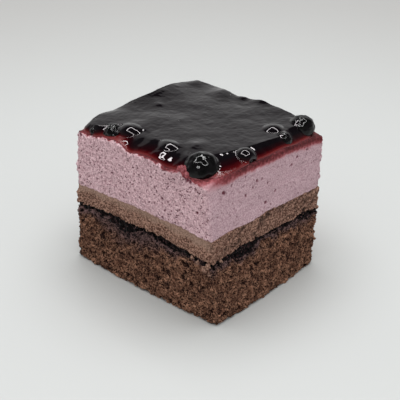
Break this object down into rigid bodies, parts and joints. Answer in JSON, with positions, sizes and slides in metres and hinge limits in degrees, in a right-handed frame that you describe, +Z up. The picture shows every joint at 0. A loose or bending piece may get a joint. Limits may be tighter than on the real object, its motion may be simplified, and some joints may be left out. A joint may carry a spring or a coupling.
{
  "type": "blueberry mousse cake slice",
  "caption": "Square-cut slice of layered cake: dark sponge, a seam of jam, chocolate cream, thick blueberry mousse and a glossy dark jelly glaze with whole berries at its edge.",
  "frame": {"origin": "on the table, under the middle of the slice's outline", "axes": "+Z up, +X along the longer cut side, -Y towards the cut side with the torn mousse edge"},
  "size_m": [0.0644, 0.0558, 0.055],
  "materials": {
    "sponge": "open, rough chocolate crumb, dry and fully matte",
    "jam": "sticky near-black purple jam, half gloss, soaked into the crumb below",
    "chocolate_cream": "dense, fine, matte light brown cream",
    "mousse": "aerated dusty pink mousse with small dark pores, matte",
    "glaze": "wet, mirror-glossy jelly, almost black where thick and deep red where thin",
    "berry": "black-blue berry skin under a wet coat of jelly, glossy"
  },
  "bodies": {
    "root": {"sponge": "sponge", "jam_seam": "jam", "chocolate_cream": "chocolate_cream", "blueberry_mousse": "mousse", "jelly_glaze": "glaze", "berry_front_corner": "berry", "berry_left_tiny": "berry", "berry_left_small": "berry", "berry_left": "berry", "berry_left_middle": "berry", "berry_right_front": "berry", "berry_right_small": "berry", "berry_right_middle": "berry", "berry_right_corner": "berry", "berry_back_right": "berry", "berry_back_middle": "berry", "berry_back_corner": "berry", "berry_back_left": "berry", "berry_side_left": "berry"}
  },
  "joints": []
}
